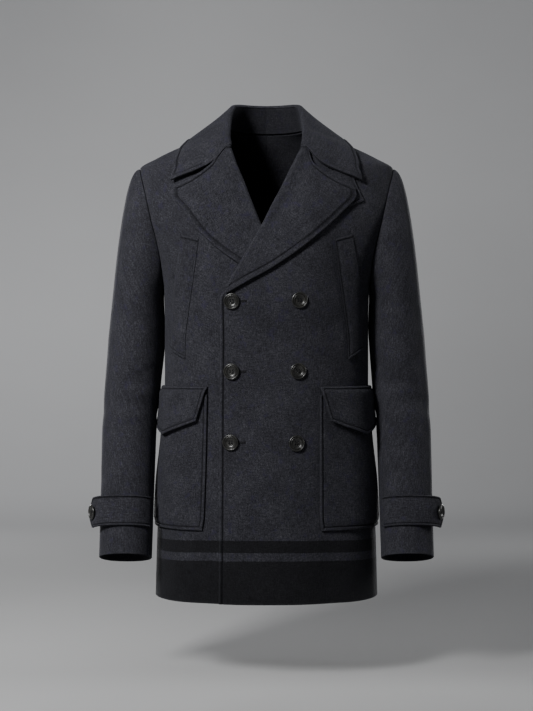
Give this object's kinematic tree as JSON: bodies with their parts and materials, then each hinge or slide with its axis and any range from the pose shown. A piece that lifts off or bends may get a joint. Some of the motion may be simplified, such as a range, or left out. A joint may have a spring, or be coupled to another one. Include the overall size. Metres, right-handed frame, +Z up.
{
  "type": "pea coat",
  "caption": "Double-breasted wool pea coat, broad collar and lapels, slanted chest pockets, flapped patch pockets and buttoned cuff tabs, hollow as if worn.",
  "frame": {"origin": "middle of the neck opening at the height of the shoulder tops, where the wearer's shoulders carry the coat", "axes": "+Z up out of the neck, -Y to the wearer's front, +X to the wearer's left"},
  "size_m": [0.6078, 0.2739, 0.8601],
  "materials": {
    "wool": "matte melton wool, dark navy grey",
    "buttons": "dark horn, satin"
  },
  "bodies": {
    "root": {"back_left": "wool", "back_right": "wool", "button_1": "buttons", "button_2": "buttons", "button_3": "buttons", "button_4": "buttons", "button_5": "buttons", "button_6": "buttons", "collar": "wool", "collar_stand": "wool", "cuff_button_left": "buttons", "cuff_button_right": "buttons", "cuff_strap_left": "wool", "cuff_strap_right": "wool", "flap_left": "wool", "flap_right": "wool", "front_left": "wool", "front_right": "wool", "lapel_left": "wool", "lapel_right": "wool", "pocket_left": "wool", "pocket_right": "wool", "sleeve_top_left": "wool", "sleeve_top_right": "wool", "sleeve_under_left": "wool", "sleeve_under_right": "wool", "throat_tab": "wool", "welt_left": "wool", "welt_right": "wool"}
  },
  "joints": []
}
